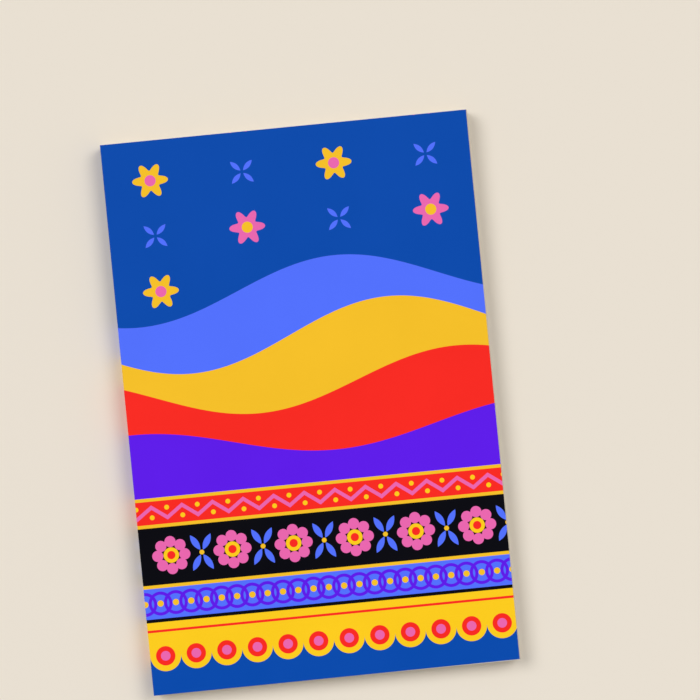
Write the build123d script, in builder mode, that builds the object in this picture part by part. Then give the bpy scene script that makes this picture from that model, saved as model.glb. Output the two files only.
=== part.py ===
from build123d import *
import os

# A perfect-bound softcover notebook, lying closed on its back cover.
# Millimetres. +X runs from the spine to the fore edge, +Y to the head, +Z up through the front cover.
# The origin is under the middle of the closed book.

# Trimmed size of the closed book
trim_width = 152.4
trim_height = 228.6

# Card of the wraparound cover
card_thickness = 0.28
fold_radius = 0.2
cover_fore_shy = 0.4
cover_tail_shy = 0.4

# Leaves, from the front cover down, each resting on a film of air on the one below
leaf_count = 75
leaf_thickness = 0.1
leaf_air = 0.0144
turning_leaves = 8
leaves_per_group = 10

# Spine
glue_thickness = 0.4
glue_end_gap = 0.6
hinge_clearance = 0.02

# Levels and edges that the pieces share
spine_x = -trim_width / 2
fore_x = trim_width / 2
head_y = trim_height / 2
tail_y = -trim_height / 2
glue_x = spine_x + card_thickness
leaf_x = glue_x + glue_thickness
leaf_pitch = leaf_thickness + leaf_air
block_bottom = card_thickness
block_top = block_bottom + leaf_air + leaf_count * leaf_pitch
book_thickness = block_top + card_thickness


def leaf_level(number):
    """Height of the underside of a leaf, counted from the front cover."""
    return block_top - number * leaf_pitch


os.makedirs("parts", exist_ok=True)


# Front cover: a flat panel whose spine edge is rounded over where the card folds
with BuildPart() as front_cover:
    with BuildSketch(Plane.XY.offset(block_top)):
        with BuildLine():
            Polyline(
                (spine_x + hinge_clearance, tail_y + cover_tail_shy),
                (fore_x - cover_fore_shy, tail_y + cover_tail_shy),
                (fore_x - cover_fore_shy, head_y),
                (spine_x + hinge_clearance, head_y),
                close=True,
            )
        make_face()
    extrude(amount=card_thickness)
    fold_edge = front_cover.faces().sort_by(Axis.Z)[-1].edges().sort_by(Axis.X)[0]
    fillet(fold_edge, radius=fold_radius)
front_cover.part.label = "front_cover"
export_step(front_cover.part, "parts/front_cover.step")


# Back cover: trimmed flush with the leaves, folded up at the spine in the same way
with BuildPart() as back_cover:
    with BuildSketch():
        with BuildLine():
            Polyline(
                (spine_x + hinge_clearance, tail_y),
                (fore_x, tail_y),
                (fore_x, head_y),
                (spine_x + hinge_clearance, head_y),
                close=True,
            )
        make_face()
    extrude(amount=card_thickness)
    fold_edge = back_cover.faces().sort_by(Axis.Z)[0].edges().sort_by(Axis.X)[0]
    fillet(fold_edge, radius=fold_radius)
back_cover.part.label = "back_cover"
export_step(back_cover.part, "parts/back_cover.step")


# Spine panel: the strip of card between the two folds
with BuildPart() as spine_panel:
    with BuildSketch(Plane.XY.offset(block_bottom)):
        with Locations((spine_x, 0)):
            Rectangle(card_thickness, trim_height, align=(Align.MIN, Align.CENTER))
    extrude(amount=block_top - block_bottom)
spine_panel.part.label = "spine_panel"
export_step(spine_panel.part, "parts/spine_panel.step")


# Glue: one layer that holds the leaves' spine edges to the spine panel
with BuildPart() as spine_glue:
    with BuildSketch(Plane.XY.offset(block_bottom)):
        with Locations((glue_x, 0)):
            Rectangle(
                glue_thickness, trim_height - 2 * glue_end_gap, align=(Align.MIN, Align.CENTER)
            )
    extrude(amount=block_top - block_bottom)
spine_glue.part.label = "spine_glue"
export_step(spine_glue.part, "parts/spine_glue.step")


# Leaves: the first few turn one by one and are nodes of their own, the rest stay in groups
def build_leaves(first, last, label):
    """The sheets of a run of leaves, each a solid of its own, written as one node."""
    with BuildPart() as leaves:
        for number in range(first, last + 1):
            with BuildSketch(Plane.XY.offset(leaf_level(number))):
                with Locations((leaf_x, 0)):
                    Rectangle(fore_x - leaf_x, trim_height, align=(Align.MIN, Align.CENTER))
            extrude(amount=leaf_thickness)
    leaves.part.label = label
    export_step(leaves.part, f"parts/{label}.step")


for number in range(1, turning_leaves + 1):
    build_leaves(number, number, f"leaf_{number:02d}")

for first in range(turning_leaves + 1, leaf_count + 1, leaves_per_group):
    last = min(first + leaves_per_group - 1, leaf_count)
    build_leaves(first, last, f"leaves_{first:02d}_{last:02d}")

print("closed book", trim_width, "x", trim_height, "x", round(book_thickness, 3), "mm")
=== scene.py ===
import bpy
import math
import random
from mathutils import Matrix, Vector


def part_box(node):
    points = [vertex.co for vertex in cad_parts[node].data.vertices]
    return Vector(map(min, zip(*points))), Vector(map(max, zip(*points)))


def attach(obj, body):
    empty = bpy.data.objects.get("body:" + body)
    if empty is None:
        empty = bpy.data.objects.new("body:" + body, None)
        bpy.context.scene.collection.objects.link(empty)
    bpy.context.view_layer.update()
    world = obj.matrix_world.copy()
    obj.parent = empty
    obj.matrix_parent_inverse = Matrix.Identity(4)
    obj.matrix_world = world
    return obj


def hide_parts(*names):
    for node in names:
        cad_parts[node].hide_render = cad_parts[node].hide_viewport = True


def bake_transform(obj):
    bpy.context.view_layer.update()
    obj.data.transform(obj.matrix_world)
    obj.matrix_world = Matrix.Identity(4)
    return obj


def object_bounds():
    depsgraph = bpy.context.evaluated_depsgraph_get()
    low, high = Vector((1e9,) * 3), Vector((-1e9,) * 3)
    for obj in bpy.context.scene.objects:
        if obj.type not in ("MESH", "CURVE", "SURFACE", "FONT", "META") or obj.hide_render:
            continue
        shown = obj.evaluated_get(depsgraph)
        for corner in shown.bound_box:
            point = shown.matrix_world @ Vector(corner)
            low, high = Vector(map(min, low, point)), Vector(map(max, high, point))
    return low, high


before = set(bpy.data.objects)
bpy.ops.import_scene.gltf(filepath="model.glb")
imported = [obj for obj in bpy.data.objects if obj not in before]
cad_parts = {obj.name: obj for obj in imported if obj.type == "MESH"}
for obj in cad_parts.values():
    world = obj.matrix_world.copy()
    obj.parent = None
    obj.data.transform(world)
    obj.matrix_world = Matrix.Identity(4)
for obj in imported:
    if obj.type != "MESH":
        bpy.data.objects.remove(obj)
cadLow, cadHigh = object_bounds()
random.seed(7)

# Places taken from the frame, in metres
mm = 0.001
frontLow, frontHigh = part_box("front_cover")
backLow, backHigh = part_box("back_cover")
spineLow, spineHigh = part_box("spine_panel")
glueLow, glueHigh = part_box("spine_glue")
cardThick = spineHigh.x - spineLow.x
spineX = spineLow.x
bookTop = frontHigh.z
blockTop = frontLow.z
blockBottom = backHigh.z
midSpineZ = bookTop / 2
turningLeaves = sorted(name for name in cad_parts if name.startswith("leaf_"))
leafGroups = sorted(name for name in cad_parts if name.startswith("leaves_"))
leafLow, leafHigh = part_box(turningLeaves[0])
leafThick = leafHigh.z - leafLow.z

sameSpot = 0.01 * mm  # two places nearer than this are one
smoothAngle = math.radians(35)


# Modelling helpers

def startPiece():
    if bpy.context.object and bpy.context.object.mode != "OBJECT":
        objectMode()
    bpy.ops.object.select_all(action="DESELECT")


def addGrid(low, high, z, columns, rows):
    startPiece()
    centre = ((low[0] + high[0]) / 2, (low[1] + high[1]) / 2, z)
    bpy.ops.mesh.primitive_grid_add(x_subdivisions=columns, y_subdivisions=rows, size=1, location=centre)
    bpy.ops.transform.resize(value=(high[0] - low[0], high[1] - low[1], 1))
    bpy.ops.object.transform_apply(location=True, rotation=True, scale=True)
    return bpy.context.object


def editEdges():
    bpy.ops.object.mode_set(mode="EDIT")
    bpy.ops.mesh.select_mode(type="EDGE")
    bpy.ops.mesh.select_all(action="DESELECT")


def objectMode():
    bpy.ops.object.mode_set(mode="OBJECT")


def selectEdgesAtX(piece, x):
    objectMode()
    points = piece.data.vertices
    for edge in piece.data.edges:
        edge.select = all(abs(points[i].co.x - x) < sameSpot for i in edge.vertices)
    bpy.ops.object.mode_set(mode="EDIT")


def evenSteps(start, length, count):
    return [start + length / count * i for i in range(1, count + 1)]


def cutAcross(direction, places):
    for place in places:
        bpy.ops.mesh.select_all(action="SELECT")
        bpy.ops.mesh.bisect(plane_co=Vector(direction) * place, plane_no=direction)


def thicken(piece, thickness, innerSlot, rimSlot):
    solid = piece.modifiers.new("thickness", "SOLIDIFY")
    solid.thickness = thickness
    solid.offset = -1
    solid.material_offset = innerSlot
    solid.material_offset_rim = rimSlot
    bpy.ops.object.modifier_apply(modifier=solid.name)


def mapFlat(piece, name, place):
    layer = piece.data.uv_layers.new(name=name)
    for loop in piece.data.loops:
        layer.data[loop.index].uv = place(piece.data.vertices[loop.vertex_index].co)


def dress(piece, *materials):
    for material in materials:
        piece.data.materials.append(material)


# Node helpers

def addNode(tree, kind, **settings):
    made = tree.nodes.new(kind)
    for name, value in settings.items():
        setattr(made, name, value)
    return made


def plug(tree, value, socket):
    if isinstance(value, bpy.types.NodeSocket):
        tree.links.new(value, socket)
    else:
        socket.default_value = value


def calc(tree, operation, *values):
    made = addNode(tree, "ShaderNodeMath", operation=operation)
    for value, socket in zip(values, made.inputs):
        plug(tree, value, socket)
    return made.outputs[0]


def remap(tree, value, low, high, newLow, newHigh):
    made = addNode(tree, "ShaderNodeMapRange")
    for socket, number in zip(made.inputs, (value, low, high, newLow, newHigh)):
        plug(tree, number, socket)
    return made.outputs[0]


def mixColour(tree, mask, first, second):
    made = addNode(tree, "ShaderNodeMix", data_type="RGBA")
    plug(tree, mask, made.inputs[0])
    plug(tree, first, made.inputs[6])
    plug(tree, second, made.inputs[7])
    return made.outputs[2]


def shaded(tree, colour, shade):
    made = addNode(tree, "ShaderNodeVectorMath", operation="SCALE")
    plug(tree, colour, made.inputs[0])
    plug(tree, shade, made.inputs["Scale"])
    return made.outputs[0]


def objectPlace(tree):
    return addNode(tree, "ShaderNodeTexCoord").outputs["Object"]


def mapPlace(tree, uvMap):
    place = addNode(tree, "ShaderNodeUVMap", uv_map=uvMap)
    split = addNode(tree, "ShaderNodeSeparateXYZ")
    tree.links.new(place.outputs["UV"], split.inputs[0])
    return [calc(tree, "MULTIPLY", split.outputs[i], 1 / mm) for i in range(2)]


def addNoise(tree, place, scale, detail=2):
    noise = addNode(tree, "ShaderNodeTexNoise")
    noise.inputs["Scale"].default_value = scale
    noise.inputs["Detail"].default_value = detail
    tree.links.new(place, noise.inputs["Vector"])
    return noise.outputs[0]


def addBump(tree, shader, height, distance):
    bump = addNode(tree, "ShaderNodeBump")
    bump.inputs["Strength"].default_value = 1
    bump.inputs["Distance"].default_value = distance
    plug(tree, height, bump.inputs["Height"])
    tree.links.new(bump.outputs["Normal"], shader.inputs["Normal"])


def linear(red, green, blue):  # from sRGB parts of 255
    def one(part):
        part = part / 255
        return part / 12.92 if part <= 0.04045 else ((part + 0.055) / 1.055) ** 2.4
    return (one(red), one(green), one(blue), 1)


def newMaterial(name):
    material = bpy.data.materials.new(name)
    material.use_nodes = True
    tree = material.node_tree
    tree.nodes.clear()
    shader = addNode(tree, "ShaderNodeBsdfPrincipled")
    output = addNode(tree, "ShaderNodeOutputMaterial")
    tree.links.new(shader.outputs["BSDF"], output.inputs["Surface"])
    return material, tree, shader


def setFinish(shader, roughness, specular):
    shader.inputs["Roughness"].default_value = roughness
    shader.inputs["Specular IOR Level"].default_value = specular


# Paper fibre: a faint cloudy tone and a fine felt, for every uncoated surface

fibreLook = {
    "cloudShare": 0.7,  # of the tone, the rest is felt
    "cloudDetail": 4,
    "feltDetail": 3,
    "feltTwist": 1.4,
}


def makeFibreGroup():
    group = bpy.data.node_groups.new("paperFibre", "ShaderNodeTree")
    side = group.interface.new_socket
    side("Vector", in_out="INPUT", socket_type="NodeSocketVector")
    side("Cloud Scale", in_out="INPUT", socket_type="NodeSocketFloat")
    side("Felt Scale", in_out="INPUT", socket_type="NodeSocketFloat")
    side("Tone", in_out="OUTPUT", socket_type="NodeSocketFloat")
    side("Height", in_out="OUTPUT", socket_type="NodeSocketFloat")
    start = addNode(group, "NodeGroupInput")
    end = addNode(group, "NodeGroupOutput")
    cloud = addNode(group, "ShaderNodeTexNoise")
    cloud.inputs["Detail"].default_value = fibreLook["cloudDetail"]
    felt = addNode(group, "ShaderNodeTexNoise")
    felt.inputs["Detail"].default_value = fibreLook["feltDetail"]
    felt.inputs["Distortion"].default_value = fibreLook["feltTwist"]
    for noise, scale in ((cloud, "Cloud Scale"), (felt, "Felt Scale")):
        group.links.new(start.outputs["Vector"], noise.inputs["Vector"])
        group.links.new(start.outputs[scale], noise.inputs["Scale"])
    share = fibreLook["cloudShare"]
    fine = calc(group, "MULTIPLY", felt.outputs[0], 1 - share)
    tone = calc(group, "MULTIPLY_ADD", cloud.outputs[0], share, fine)
    group.links.new(tone, end.inputs["Tone"])
    group.links.new(felt.outputs[0], end.inputs["Height"])
    return group


fibreGroup = makeFibreGroup()


def addFibre(tree, cloudScale, feltScale):
    fibre = addNode(tree, "ShaderNodeGroup")
    fibre.node_tree = fibreGroup
    fibre.inputs["Cloud Scale"].default_value = cloudScale
    fibre.inputs["Felt Scale"].default_value = feltScale
    tree.links.new(objectPlace(tree), fibre.inputs["Vector"])
    return fibre.outputs["Tone"], fibre.outputs["Height"]


# Cover print: flat inks on a wraparound sheet, laid out in millimetres from the tail and from mid spine

inks = {
    "deepBlue": linear(0, 74, 173),
    "periwinkle": linear(82, 113, 255),
    "red": linear(250, 40, 31),
    "amber": linear(247, 193, 38),
    "yellow": linear(254, 205, 26),
    "violet": linear(94, 23, 235),
    "pink": linear(236, 103, 176),
    "black": linear(0, 0, 8),
}
printLayout = {
    "softEdge": 0.05,  # half the width over which one ink gives way to the next
    "waveLength": 166.0,
    "waveClear": 9.5,  # from the top wave to the middle of the nearest flower or sprig
    "fieldPitch": (38.1, 46.0),
    "fieldStart": (19.05, 212.0),
    "narrowPitch": 12.7,
    "widePitch": 25.4,
    "beadLift": 1.9,  # of the zigzag's beads from the middle of their row
    "fineLineHalf": 0.5,
}
# Waves from the top down: ink, mean height of the upper edge, rise, shift towards the front
waves = [
    ("periwinkle", 163.0, 11.0, -28.0),
    ("amber", 143.0, 12.0, -8.0),
    ("red", 122.0, 10.0, 18.0),
    ("violet", 101.0, 7.0, 48.0),
]
# Border rows from the top down: ink of the ground, height of the upper edge
borderGrounds = [
    ("amber", 81.4),
    ("red", 80.0),
    ("amber", 70.4),
    ("black", 69.0),
    ("amber", 45.4),
    ("periwinkle", 44.0),
    ("black", 31.4),
    ("yellow", 30.0),
    ("deepBlue", 16.0),
]
rowMiddles = {"zigzag": 75.2, "garland": 57.2, "rings": 37.7, "scallops": 16.0, "fineLine": 26.4}
# Sizes of the motifs in millimetres, and their lean in degrees
motifs = {
    "flower": {"count": 6, "radius": 7.4, "depth": 0.22},
    "flowerHeart": {"radius": 2.3},
    "sprig": {"lean": 45, "reach": 3.6, "halfLong": 2.8, "halfWide": 1.0},
    "zigzag": {"rise": 2.3, "halfWide": 0.75},
    "zigzagBead": {"radius": 1.0},
    "garlandFlower": {"count": 8, "ringRadius": 5.6, "dotRadius": 2.3},
    "garlandEye": {"radius": 3.2},
    "garlandHeart": {"radius": 1.7},
    "garlandSprig": {"lean": 60, "reach": 4.8, "halfLong": 3.7, "halfWide": 1.3},
    "garlandBead": {"radius": 1.0},
    "chainRing": {"radius": 4.3, "halfWide": 0.65},
    "chainBead": {"radius": 1.3},
    "scallop": {"radius": printLayout["narrowPitch"] / 2},
    "scallopDisc": {"radius": 4.0},
    "scallopHeart": {"radius": 2.0},
}
halfSpine = midSpineZ / mm


def under(tree, value, limit, soft=printLayout["softEdge"]):
    return remap(tree, calc(tree, "SUBTRACT", value, limit), -soft, soft, 1, 0)


def repeat(tree, value, pitch):
    return calc(tree, "WRAP", value, pitch / 2, -pitch / 2)


def distance(tree, across, along):
    alongSquare = calc(tree, "MULTIPLY", along, along)
    return calc(tree, "SQRT", calc(tree, "MULTIPLY_ADD", across, across, alongSquare))


def disc(tree, across, along, radius):
    return under(tree, distance(tree, across, along), radius)


def ring(tree, across, along, radius, halfWide):
    away = calc(tree, "SUBTRACT", distance(tree, across, along), radius)
    return under(tree, calc(tree, "ABSOLUTE", away), halfWide)


def petals(tree, across, along, count, radius, depth):
    angle = calc(tree, "MULTIPLY", calc(tree, "ARCTAN2", along, across), count)
    edge = calc(tree, "MULTIPLY_ADD", calc(tree, "COSINE", angle), radius * depth, radius * (1 - depth))
    return under(tree, distance(tree, across, along), edge)


def ringOfDots(tree, across, along, count, ringRadius, dotRadius):
    step = math.tau / count
    angle = repeat(tree, calc(tree, "ARCTAN2", along, across), step)
    spoke = distance(tree, across, along)
    sideways = calc(tree, "MULTIPLY", calc(tree, "SINE", angle), spoke)
    outward = calc(tree, "MULTIPLY_ADD", calc(tree, "COSINE", angle), spoke, -ringRadius)
    return disc(tree, sideways, outward, dotRadius)


def fourLeaves(tree, across, along, lean, reach, halfLong, halfWide):
    leanX, leanY = math.cos(math.radians(lean)), math.sin(math.radians(lean))
    sideways = calc(tree, "ABSOLUTE", across)
    upward = calc(tree, "ABSOLUTE", along)
    outward = calc(tree, "MULTIPLY_ADD", sideways, leanX, calc(tree, "MULTIPLY", upward, leanY))
    tip = calc(tree, "MULTIPLY", calc(tree, "SUBTRACT", outward, reach), 1 / halfLong)
    side = calc(tree, "MULTIPLY_ADD", sideways, -leanY, calc(tree, "MULTIPLY", upward, leanX))
    taper = calc(tree, "MULTIPLY", tip, tip)
    swell = calc(tree, "MULTIPLY_ADD", taper, halfWide, calc(tree, "ABSOLUTE", side))
    return under(tree, swell, halfWide)


def zigzag(tree, across, along, pitch, rise, halfWide):
    slope = 4 * rise / pitch
    fold = calc(tree, "PINGPONG", across, pitch / 2)
    height = calc(tree, "MULTIPLY_ADD", fold, -slope, calc(tree, "ADD", along, rise))
    return under(tree, calc(tree, "ABSOLUTE", height), halfWide * math.hypot(1, slope))


def pick(tree, inside, first, second):
    return calc(tree, "MULTIPLY_ADD", inside, calc(tree, "SUBTRACT", first, second), second)


def swung(tree, x, y, rise, shift):
    turn = math.tau / printLayout["waveLength"]
    swing = calc(tree, "SINE", calc(tree, "MULTIPLY_ADD", x, turn, -shift * turn))
    return calc(tree, "MULTIPLY_ADD", swing, rise, y)


def paintField(tree, colour, x, fromFold, y):
    pitchX, pitchY = printLayout["fieldPitch"]
    startX, startY = printLayout["fieldStart"]
    column = calc(tree, "FLOOR", calc(tree, "MULTIPLY", fromFold, 1 / pitchX))
    odd = calc(tree, "PINGPONG", column, 1)
    across = repeat(tree, calc(tree, "SUBTRACT", fromFold, startX), pitchX)
    drop = calc(tree, "MULTIPLY_ADD", odd, pitchY / 2, -startY)
    along = repeat(tree, calc(tree, "ADD", y, drop), pitchY)
    between = repeat(tree, calc(tree, "ADD", along, pitchY / 2), pitchY)
    petalInk = mixColour(tree, odd, inks["amber"], inks["pink"])
    heartInk = mixColour(tree, odd, inks["pink"], inks["amber"])
    # a flower or sprig that the top wave would cut is left out
    _, top, rise, shift = waves[0]
    middleX = calc(tree, "SUBTRACT", x, calc(tree, "MULTIPLY", across, calc(tree, "SIGN", x)))
    for mask, ink, fromMiddle in (
        (petals(tree, across, along, **motifs["flower"]), petalInk, along),
        (disc(tree, across, along, **motifs["flowerHeart"]), heartInk, along),
        (fourLeaves(tree, across, between, **motifs["sprig"]), inks["periwinkle"], between),
    ):
        middle = swung(tree, middleX, calc(tree, "SUBTRACT", y, fromMiddle), rise, shift)
        whole = calc(tree, "GREATER_THAN", middle, top + printLayout["waveClear"])
        colour = mixColour(tree, calc(tree, "MULTIPLY", mask, whole), colour, ink)
    return colour


def paintWaves(tree, colour, x, y):
    for ink, top, rise, shift in waves:
        colour = mixColour(tree, under(tree, swung(tree, x, y, rise, shift), top), colour, inks[ink])
    return colour


def paintBorder(tree, colour, x, fromFold, y):
    for ink, top in borderGrounds:
        colour = mixColour(tree, under(tree, y, top), colour, inks[ink])
    narrow, wide = printLayout["narrowPitch"], printLayout["widePitch"]
    # one squeezed repeat fills the spine
    onSpine = calc(tree, "LESS_THAN", fromFold, 0)
    squeezed = calc(tree, "MULTIPLY_ADD", x, narrow / 2 / halfSpine, narrow / 2)
    small = pick(tree, onSpine, squeezed, fromFold)
    height = {name: calc(tree, "SUBTRACT", y, middle) for name, middle in rowMiddles.items()}
    lowBead = calc(tree, "ADD", height["zigzag"], printLayout["beadLift"])
    highBead = calc(tree, "SUBTRACT", height["zigzag"], printLayout["beadLift"])
    atMiddle = repeat(tree, calc(tree, "SUBTRACT", small, narrow / 2), narrow)
    atJoin = repeat(tree, small, narrow)
    atFlower = repeat(tree, calc(tree, "SUBTRACT", fromFold, wide / 2), wide)
    # the two sprigs at the folds become one at mid spine
    nearSpine = calc(tree, "LESS_THAN", fromFold, wide / 3)
    atSprig = pick(tree, nearSpine, x, repeat(tree, fromFold, wide))
    for mask, ink in (
        (zigzag(tree, small, height["zigzag"], narrow, **motifs["zigzag"]), "pink"),
        (disc(tree, atMiddle, lowBead, **motifs["zigzagBead"]), "yellow"),
        (disc(tree, atJoin, highBead, **motifs["zigzagBead"]), "yellow"),
        (ringOfDots(tree, atFlower, height["garland"], **motifs["garlandFlower"]), "pink"),
        (disc(tree, atFlower, height["garland"], **motifs["garlandEye"]), "yellow"),
        (disc(tree, atFlower, height["garland"], **motifs["garlandHeart"]), "red"),
        (fourLeaves(tree, atSprig, height["garland"], **motifs["garlandSprig"]), "periwinkle"),
        (disc(tree, atSprig, height["garland"], **motifs["garlandBead"]), "amber"),
        (ring(tree, atMiddle, height["rings"], **motifs["chainRing"]), "violet"),
        (ring(tree, atJoin, height["rings"], **motifs["chainRing"]), "violet"),
        (disc(tree, atMiddle, height["rings"], **motifs["chainBead"]), "amber"),
        (disc(tree, atJoin, height["rings"], **motifs["chainBead"]), "amber"),
        (disc(tree, atMiddle, height["scallops"], **motifs["scallop"]), "yellow"),
        (disc(tree, atMiddle, height["scallops"], **motifs["scallopDisc"]), "red"),
        (disc(tree, atMiddle, height["scallops"], **motifs["scallopHeart"]), "pink"),
        (under(tree, calc(tree, "ABSOLUTE", height["fineLine"]), printLayout["fineLineHalf"]), "red"),
    ):
        colour = mixColour(tree, mask, colour, inks[ink])
    return colour


filmFinish = {
    "roughness": 0.50,
    "roughnessSpread": 0.05,
    "inkSpread": 0.03,
    "specular": 0.08,
    "patchScale": 35,
    "patchDetail": 5,
    "patchBand": (0.3, 0.7),
    "grainScale": 2200,
    "grainHeight": 0.010 * mm,
}


def makeCoverPrint():
    material, tree, shader = newMaterial("coverPrint")
    x, y = mapPlace(tree, "print")
    fromFold = calc(tree, "SUBTRACT", calc(tree, "ABSOLUTE", x), halfSpine)
    colour = paintField(tree, inks["deepBlue"], x, fromFold, y)
    colour = paintBorder(tree, paintWaves(tree, colour, x, y), x, fromFold, y)
    place = objectPlace(tree)
    patches = addNoise(tree, place, filmFinish["patchScale"], filmFinish["patchDetail"])
    grain = addNoise(tree, place, filmFinish["grainScale"])
    low, high = filmFinish["patchBand"]
    density = remap(tree, patches, low, high, 1 - filmFinish["inkSpread"], 1)
    tree.links.new(shaded(tree, colour, density), shader.inputs["Base Color"])
    middle, spread = filmFinish["roughness"], filmFinish["roughnessSpread"]
    roughness = remap(tree, patches, low, high, middle - spread, middle + spread)
    tree.links.new(roughness, shader.inputs["Roughness"])
    shader.inputs["Specular IOR Level"].default_value = filmFinish["specular"]
    addBump(tree, shader, grain, filmFinish["grainHeight"])
    return material


cardFinish = {
    "inside": linear(244, 243, 238),
    "insideScales": (160, 2400),  # of the fibre's cloud and felt
    "cut": linear(232, 230, 222),
    "cutScales": (900, 9000),
    "toneSpread": 0.05,
    "toneBand": (0.35, 0.65),
    "roughness": 0.82,
    "specular": 0.25,
    "feltHeight": 0.012 * mm,
}


def makeUncoated(name, colour, scales):
    material, tree, shader = newMaterial(name)
    tone, height = addFibre(tree, *scales)
    shade = remap(tree, tone, *cardFinish["toneBand"], 1 - cardFinish["toneSpread"], 1)
    tree.links.new(shaded(tree, colour[:3], shade), shader.inputs["Base Color"])
    setFinish(shader, cardFinish["roughness"], cardFinish["specular"])
    addBump(tree, shader, height, cardFinish["feltHeight"])
    return material


coverPrint = makeCoverPrint()
coverInside = makeUncoated("coverInside", cardFinish["inside"], cardFinish["insideScales"])
cardCut = makeUncoated("cardCut", cardFinish["cut"], cardFinish["cutScales"])
print("cover materials made")


# Leaves: white uncoated paper with a dot grid on both sides, and a darker, warmer band along the trimmed
# edges: partly trim toning, partly painted shade for the cover's shadow on the strip of page beside it

pageFinish = {
    "paper": linear(250, 249, 246),
    "fibreScales": (120, 2600),
    "toneSpread": 0.03,
    "toneBand": (0.35, 0.65),
    "roughness": 0.86,
    "specular": 0.2,
    "feltHeight": 0.010 * mm,
    "dot": linear(50, 50, 54),
    "dotPitch": 25.4 / 6,
    "dotRadius": 0.32,
    "dotSoft": 0.04,
    "gutterMargin": 8.0,
    "outerMargin": 2.6,
    # darker, warmer colour of the trimmed edges: partly trim toning, partly painted shade
    "trimToneAndShade": linear(196, 184, 164),
    "trimToneAndShadeBand": (0.1, 0.45),  # the painted shade and trim tone fade over this way in from a trimmed edge
}
pageEdgeFinish = {
    "paper": linear(242, 238, 229),
    "streak": linear(214, 205, 189),
    "streakScale": (14, 14, 5200),  # long streaks along each sheet
    "streakDetail": 4,
    "streakBand": (0.38, 0.66),
    "roughness": 0.9,
    "specular": 0.15,
    "streakHeight": 0.02 * mm,
}


def within(tree, value, low, high):
    away = calc(tree, "ABSOLUTE", calc(tree, "SUBTRACT", value, (low + high) / 2))
    return under(tree, away, (high - low) / 2)


def makePagePaper():
    material, tree, shader = newMaterial("pagePaper")
    fromFore, fromTail = mapPlace(tree, "page")
    wide = (leafHigh.x - leafLow.x) / mm
    high = (leafHigh.y - leafLow.y) / mm
    pitch, margin = pageFinish["dotPitch"], pageFinish["outerMargin"]
    fromDot = distance(tree, repeat(tree, fromFore, pitch), repeat(tree, fromTail, pitch))
    dot = under(tree, fromDot, pageFinish["dotRadius"], pageFinish["dotSoft"])
    inWidth = within(tree, fromFore, margin, wide - pageFinish["gutterMargin"])
    inHeight = within(tree, fromTail, margin, high - margin)
    printed = calc(tree, "MULTIPLY", dot, calc(tree, "MULTIPLY", inWidth, inHeight))
    fromHead = calc(tree, "SUBTRACT", high, fromTail)
    toTrim = calc(tree, "MINIMUM", fromFore, calc(tree, "MINIMUM", fromTail, fromHead))
    edgeToneAndShade = remap(tree, toTrim, *pageFinish["trimToneAndShadeBand"], 1, 0)
    tone, height = addFibre(tree, *pageFinish["fibreScales"])
    shade = remap(tree, tone, *pageFinish["toneBand"], 1 - pageFinish["toneSpread"], 1)
    paper = shaded(tree, pageFinish["paper"][:3], shade)
    # painted shade with some trim toning: the paper turns darker and warmer near each trimmed edge
    paper = mixColour(tree, edgeToneAndShade, paper, pageFinish["trimToneAndShade"])
    tree.links.new(mixColour(tree, printed, paper, pageFinish["dot"]), shader.inputs["Base Color"])
    setFinish(shader, pageFinish["roughness"], pageFinish["specular"])
    addBump(tree, shader, height, pageFinish["feltHeight"])
    return material


def makePageEdge():
    material, tree, shader = newMaterial("pageEdge")
    layered = addNode(tree, "ShaderNodeMapping")
    layered.inputs["Scale"].default_value = pageEdgeFinish["streakScale"]
    tree.links.new(objectPlace(tree), layered.inputs["Vector"])
    streak = addNoise(tree, layered.outputs[0], 1, pageEdgeFinish["streakDetail"])
    mask = remap(tree, streak, *pageEdgeFinish["streakBand"], 0, 1)
    colour = mixColour(tree, mask, pageEdgeFinish["paper"], pageEdgeFinish["streak"])
    tree.links.new(colour, shader.inputs["Base Color"])
    setFinish(shader, pageEdgeFinish["roughness"], pageEdgeFinish["specular"])
    addBump(tree, shader, streak, pageEdgeFinish["streakHeight"])
    return material


pagePaper = makePagePaper()
pageEdge = makePageEdge()
print("leaf materials made")


# Covers: one card folded round the spine, in two halves that meet at mid spine so that each can open

coverShape = {
    "foldRadius": 0.45 * mm,
    "foldSteps": 8,
    "spineSteps": (0.06, 0.07, 0.09, 0.12, 0.2, 0.4, 0.8),  # millimetres along the spine from the fold
    "columns": 12,
    "rows": 18,
    "bendReach": 0.7 * mm,
    "bendCuts": 12,
    "bendSide": 0.5 * mm,
}


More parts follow.
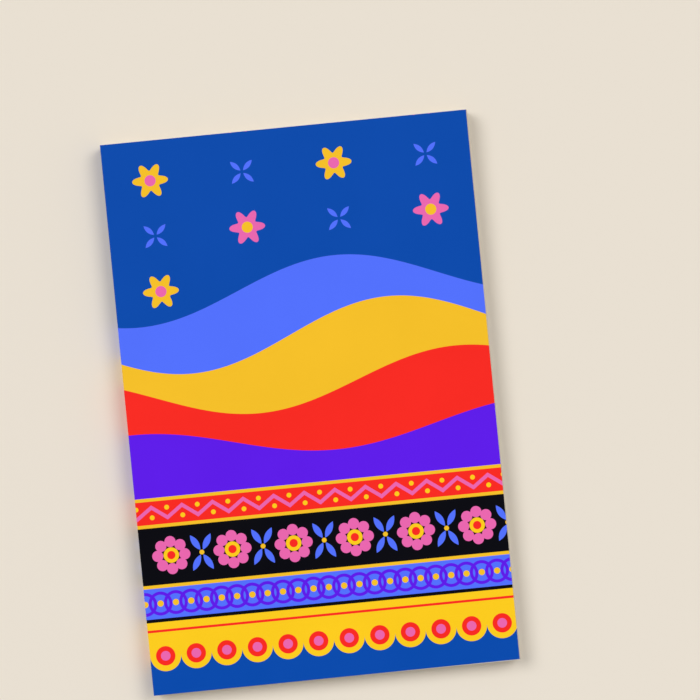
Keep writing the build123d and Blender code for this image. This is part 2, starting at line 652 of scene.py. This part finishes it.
def makeCover(name, low, high, outerZ, away):
    shape = coverShape
    radius = shape["foldRadius"]
    foldX = spineX + radius
    piece = addGrid((foldX, spineLow.y), (high.x, high.y), outerZ, shape["columns"], shape["rows"])
    piece.name = name
    for point in piece.data.vertices:  # the front's tail edge slopes in from the spine to the fore edge
        tailward = (high.y - point.co.y) / (high.y - spineLow.y)
        point.co.y += tailward * (low.y - spineLow.y) * (point.co.x - foldX) / (high.x - foldX)
    editEdges()
    cutAcross((1, 0, 0), evenSteps(foldX, shape["bendReach"], shape["bendCuts"]))
    # the spine edge is drawn out round the fold, then along the spine to its middle
    selectEdgesAtX(piece, foldX)
    turn = math.pi / 2 / shape["foldSteps"]
    last = Vector((foldX, 0, outerZ))
    for i in range(1, shape["foldSteps"] + 1):
        outward, inward = radius * math.sin(turn * i), radius * (1 - math.cos(turn * i))
        spot = Vector((foldX - outward, 0, outerZ - away * inward))
        bpy.ops.mesh.extrude_region_move(TRANSFORM_OT_translate={"value": spot - last})
        last = spot
    for length in shape["spineSteps"]:
        bpy.ops.mesh.extrude_region_move(TRANSFORM_OT_translate={"value": (0, 0, -away * length * mm)})
    rest = midSpineZ - last.z + away * sum(shape["spineSteps"]) * mm
    bpy.ops.mesh.extrude_region_move(TRANSFORM_OT_translate={"value": (0, 0, rest)})
    if away < 0:
        bpy.ops.mesh.select_all(action="SELECT")
        bpy.ops.mesh.flip_normals()
    objectMode()
    straight = abs(midSpineZ - outerZ) - radius

    def unfolded(point):
        fromOuter = abs(outerZ - point.z)
        if point.x >= foldX:
            along = straight + radius * math.pi / 2 + point.x - foldX
        elif fromOuter < radius:
            along = straight + radius * (math.pi / 2 - math.atan2(foldX - point.x, radius - fromOuter))
        else:
            along = straight - (fromOuter - radius)
        return (away * along, point.y - cadLow.y)

    mapFlat(piece, "print", unfolded)
    dress(piece, coverPrint, coverInside, cardCut)
    thicken(piece, cardThick, 1, 2)
    bpy.ops.object.shade_smooth_by_angle(angle=smoothAngle)
    return piece


coverFront = makeCover("coverFront", frontLow, frontHigh, bookTop, 1)
coverBack = makeCover("coverBack", backLow, backHigh, 0, -1)
for piece, panel, foldZ, away in (
    (coverFront, "front_cover", blockTop, 1),
    (coverBack, "back_cover", blockBottom, -1),
):
    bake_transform(piece)
    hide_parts(panel, "spine_panel")
print("covers made")


# Turning leaves: each bends within about two millimetres of the glue

leafShape = {
    "columns": 10,
    "rows": 14,
    "blockColumns": 4,
    "blockRows": 6,
    "bendStart": 0.1 * mm,
    "bendReach": 2.2 * mm,
    "bendCuts": 18,
    "trimSpread": 0.10 * mm,
    "registerSpread": 0.15 * mm,
}


def makeSheet(low, high, z, columns, rows):
    trim = leafShape["trimSpread"]
    inward = [random.uniform(0, trim) for _ in range(3)]
    corner = (low.x, low.y + inward[0])
    opposite = (high.x - inward[1], high.y - inward[2])
    return addGrid(corner, opposite, z, columns, rows)


def mapPage(piece):
    slip = [random.uniform(-1, 1) * leafShape["registerSpread"] for _ in range(2)]
    mapFlat(piece, "page", lambda point: (leafHigh.x - point.x + slip[0], point.y - leafLow.y + slip[1]))


for node in turningLeaves:
    low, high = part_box(node)
    piece = makeSheet(low, high, high.z, leafShape["columns"], leafShape["rows"])
    piece.name = "sheet" + node[-2:]
    editEdges()
    cutAcross((1, 0, 0), evenSteps(low.x, leafShape["bendReach"], leafShape["bendCuts"]))
    objectMode()
    mapPage(piece)
    dress(piece, pagePaper, pageEdge)
    thicken(piece, leafThick, 0, 1)
    bpy.ops.object.shade_smooth_by_angle(angle=smoothAngle)
    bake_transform(piece)
    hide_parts(node)
print("turning leaves made")


# Block leaves: single sheets, each trimmed a hair differently. They are joined for each node, apart from
# the top and the bottom one: an open cover shows their whole page, so each keeps a piece of its own.

def leafNumbers(node):
    return [int(part) for part in node.split("_")[1:]]


def finishSheets(node, sheets, name):
    startPiece()
    for sheet in sheets:
        sheet.select_set(True)
    bpy.context.view_layer.objects.active = sheets[0]
    if len(sheets) > 1:
        bpy.ops.object.join()
    piece = bpy.context.object
    piece.name = name
    dress(piece, pagePaper, pageEdge)
    thicken(piece, leafThick, 0, 1)
    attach(piece, "block")
    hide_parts(node)


topLeaf, bottomLeaf = leafNumbers(leafGroups[0])[0], leafNumbers(leafGroups[-1])[1]
for node in leafGroups:
    low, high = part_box(node)
    first, last = leafNumbers(node)
    pitch = (high.z - low.z - leafThick) / (last - first)
    inner = {}
    for number in range(first, last + 1):
        z = high.z - pitch * (number - first)
        sheet = makeSheet(low, high, z, leafShape["blockColumns"], leafShape["blockRows"])
        mapPage(sheet)
        if number in (topLeaf, bottomLeaf):
            finishSheets(node, [sheet], f"sheet{number:02d}")
        else:
            inner[number] = sheet
    finishSheets(node, list(inner.values()), f"sheets{min(inner):02d}to{max(inner):02d}")
print("block leaves made")


# Glue: a thin hot-melt layer that shows at the head and the tail

glueSetup = {
    "layers": 24,
    "bevel": 0.10 * mm,
    "bevelSteps": 2,
    "trimGap": 0.04 * mm,  # trimmed with the leaves, so it stands a hair inside them
    "trimSpread": 0.10 * mm,
    "trimReach": 0.15 * mm,  # how far in from its ends the trim is uneven
    "resin": linear(226, 216, 192),
    "cloud": linear(202, 188, 158),
    "cloudScale": 900,
    "roughness": 0.35,
    "subsurface": 0.2,
    "subsurfaceRadius": (1.0 * mm, 0.8 * mm, 0.5 * mm),
    "cloudHeight": 0.05 * mm,
}


def makeHotMelt():
    material, tree, shader = newMaterial("hotMelt")
    clouds = addNoise(tree, objectPlace(tree), glueSetup["cloudScale"])
    tint = mixColour(tree, clouds, glueSetup["resin"], glueSetup["cloud"])
    tree.links.new(tint, shader.inputs["Base Color"])
    shader.inputs["Roughness"].default_value = glueSetup["roughness"]
    shader.inputs["Subsurface Weight"].default_value = glueSetup["subsurface"]
    shader.inputs["Subsurface Radius"].default_value = glueSetup["subsurfaceRadius"]
    addBump(tree, shader, clouds, glueSetup["cloudHeight"])
    return material


def makeGlue():
    startPiece()
    size = glueHigh - glueLow
    size.y = cadHigh.y - cadLow.y - 2 * glueSetup["trimGap"]
    bpy.ops.mesh.primitive_cube_add(size=1, location=(glueLow + glueHigh) / 2, scale=size)
    bpy.ops.object.transform_apply(location=True, rotation=True, scale=True)
    piece = bpy.context.object
    piece.name = "glueLayer"
    editEdges()
    bpy.ops.mesh.select_all(action="SELECT")
    bpy.ops.mesh.bevel(
        offset=glueSetup["bevel"], segments=glueSetup["bevelSteps"], affect="EDGES", clamp_overlap=True
    )
    cutAcross((0, 0, 1), evenSteps(glueLow.z, size.z, glueSetup["layers"])[:-1])
    objectMode()
    for point in piece.data.vertices:
        if size.y / 2 - abs(point.co.y) < glueSetup["trimReach"]:
            point.co.y -= math.copysign(random.uniform(0, glueSetup["trimSpread"]), point.co.y)
    dress(piece, makeHotMelt())
    return piece


glueLayer = makeGlue()
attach(glueLayer, "block")
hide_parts("spine_glue")
print("glue made")


# Stage: a plain pale floor, soft light from both upper corners, and a camera straight above

stageSetup = {
    "floorSize": 24.0,
    "floorColour": linear(233, 224, 210),
    "floorRoughness": 0.9,
    "floorSpecular": 0.1,
    "skyLevel": 0.50,
    "overheadLevel": 0.06,
    "overheadBand": (0.80, 0.93),  # heights in the sky: 0 is level, 1 is straight overhead
    "wallBand": (0.20, 0.30),
    "softness": 34.0,  # degrees across each lamp
}
lamps = {
    "keyLight": {"toward": (-0.72, 0.50, 1.10), "strength": 1.38},
    "fillLight": {"toward": (0.72, 0.45, 1.10), "strength": 1.05},
}
cameraSetup = {
    "turnDegrees": -5.6,
    "pixelsPerMetre": 2420.0,
    "frameWidth": 700,
    "bookPixel": (310.3, 402.6),
    "lens": 120.0,
    "sensor": 36.0,
}


def makeFloor():
    startPiece()
    bpy.ops.mesh.primitive_plane_add(size=stageSetup["floorSize"], location=(0, 0, 0))
    floor = bpy.context.object
    floor.name = "floor"
    material, tree, shader = newMaterial("paleFloor")
    shader.inputs["Base Color"].default_value = stageSetup["floorColour"]
    setFinish(shader, stageSetup["floorRoughness"], stageSetup["floorSpecular"])
    dress(floor, material)
    return floor


def makeSky():
    world = bpy.data.worlds.new("studio")
    bpy.context.scene.world = world
    world.use_nodes = True
    sky = world.node_tree
    direction = addNode(sky, "ShaderNodeTexCoord")
    split = addNode(sky, "ShaderNodeSeparateXYZ")
    sky.links.new(direction.outputs["Generated"], split.inputs[0])
    height = split.outputs[2]
    # even light from all round, darker straight overhead so that the film shows its inks without a haze
    around, overhead = stageSetup["skyLevel"], stageSetup["overheadLevel"]
    level = remap(sky, height, *stageSetup["overheadBand"], around, overhead)
    # behind the floor the camera and the film's reflections see a wall as pale as the floor
    rays = addNode(sky, "ShaderNodeLightPath")
    seen = calc(sky, "MAXIMUM", rays.outputs["Is Glossy Ray"], rays.outputs["Is Transmission Ray"])
    seen = calc(sky, "MAXIMUM", seen, rays.outputs["Is Camera Ray"])
    wall = calc(sky, "MULTIPLY", seen, remap(sky, height, *stageSetup["wallBand"], 1, 0))
    background = sky.nodes["Background"]
    tint = mixColour(sky, wall, (1, 1, 1, 1), stageSetup["floorColour"])
    sky.links.new(tint, background.inputs["Color"])
    sky.links.new(remap(sky, wall, 0, 1, level, 1), background.inputs["Strength"])


def addSoftLight(name, toward, strength):
    bpy.ops.object.light_add(type="SUN", location=toward)
    lamp = bpy.context.object
    lamp.name = name
    lamp.data.energy = strength
    lamp.data.angle = math.radians(stageSetup["softness"])
    lamp.rotation_mode = "QUATERNION"
    lamp.rotation_quaternion = Vector(toward).to_track_quat("Z", "Y")


def placeCamera():
    turn = math.radians(cameraSetup["turnDegrees"])
    right = Vector((math.cos(turn), math.sin(turn), 0))
    up = Vector((-math.sin(turn), math.cos(turn), 0))
    scale, width = cameraSetup["pixelsPerMetre"], cameraSetup["frameWidth"]
    bookX, bookY = cameraSetup["bookPixel"]
    aside = (width / 2 - bookX) / scale
    above = (bookY - width / 2) / scale
    reach = width / scale * cameraSetup["lens"] / cameraSetup["sensor"]
    place = right * aside + up * above + Vector((0, 0, bookTop + reach))
    bpy.ops.object.camera_add(location=place, rotation=(0, 0, turn))
    camera = bpy.context.object
    camera.data.lens = cameraSetup["lens"]
    camera.data.sensor_width = cameraSetup["sensor"]
    bpy.context.scene.camera = camera


makeFloor()
makeSky()
for name, lamp in lamps.items():
    addSoftLight(name, **lamp)
placeCamera()
bpy.context.scene.view_settings.view_transform = "Standard"
print("stage made")
